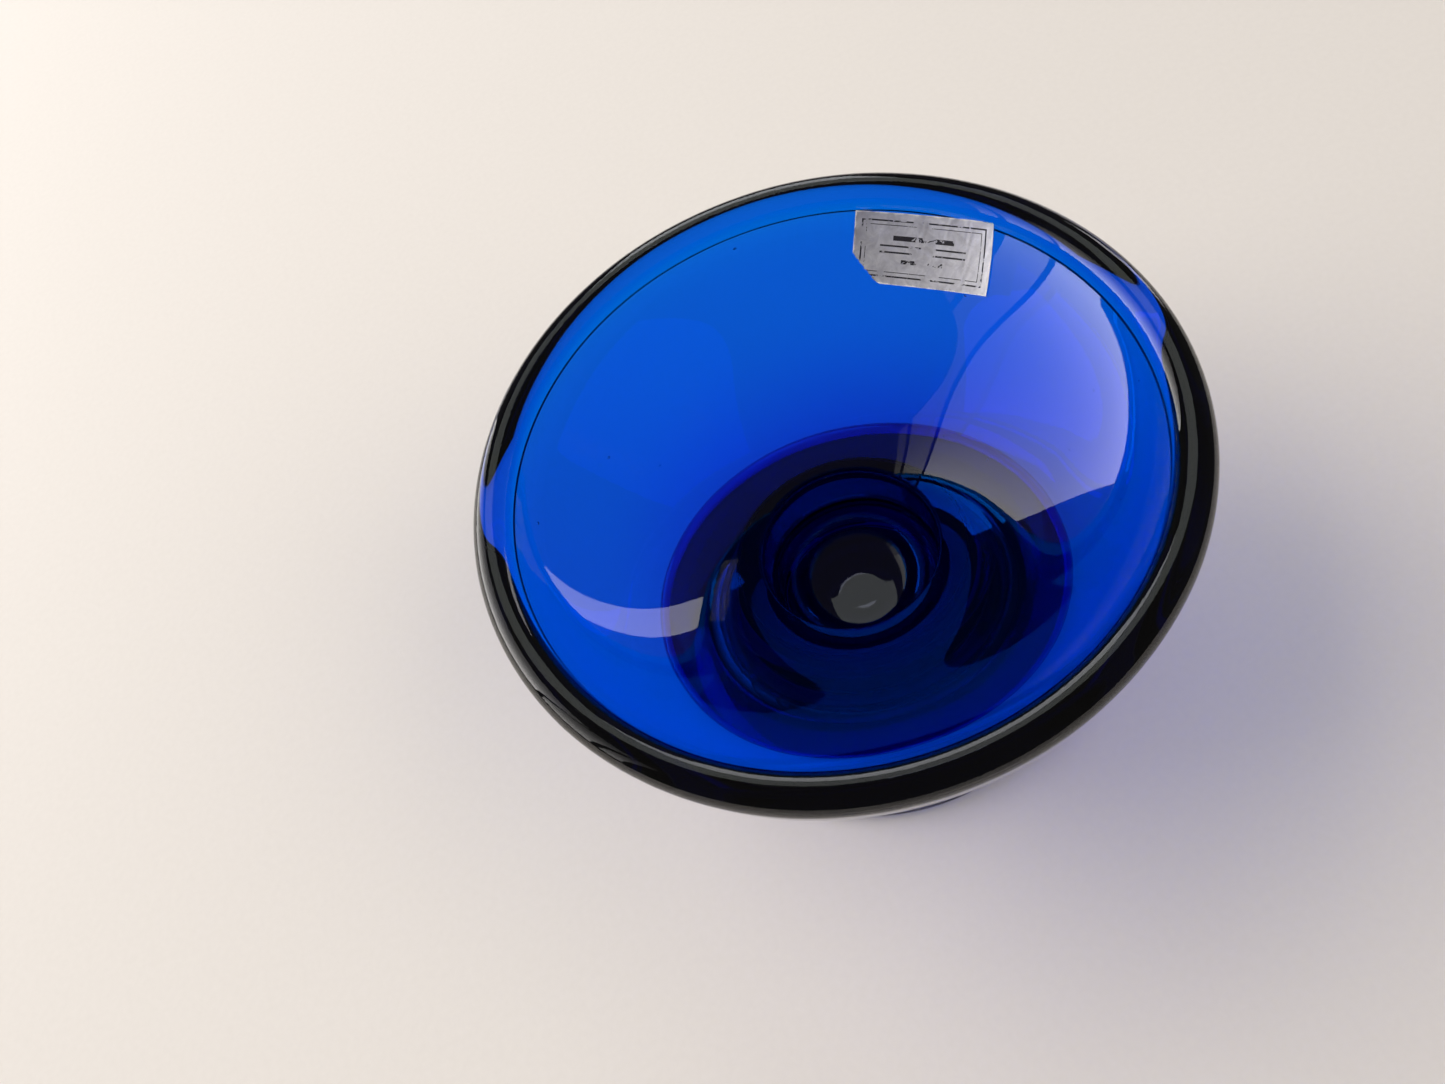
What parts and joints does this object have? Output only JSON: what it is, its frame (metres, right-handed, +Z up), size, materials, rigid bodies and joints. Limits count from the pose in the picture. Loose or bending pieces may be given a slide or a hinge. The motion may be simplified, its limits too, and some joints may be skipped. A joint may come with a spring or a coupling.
{
  "type": "glass candlestick",
  "caption": "Low blue glass candlestick with a flared bell-shaped bowl, beaded lip, candle socket in the neck and disc foot.",
  "frame": {"origin": "middle of the table face under the foot", "axes": "+Z up along the axis of the bowl, neck and foot; +X and +Y level"},
  "size_m": [0.085, 0.085, 0.047],
  "materials": {
    "cobalt_glass": "fire-polished, clear",
    "adhesive": "dried gum",
    "silver_foil": "worn satin foil on paper"
  },
  "bodies": {
    "root": {"bowl": "cobalt_glass", "rim_bead": "cobalt_glass", "socket_neck": "cobalt_glass", "foot": "cobalt_glass", "label_adhesive": "adhesive", "label_foil": "silver_foil"}
  },
  "joints": []
}
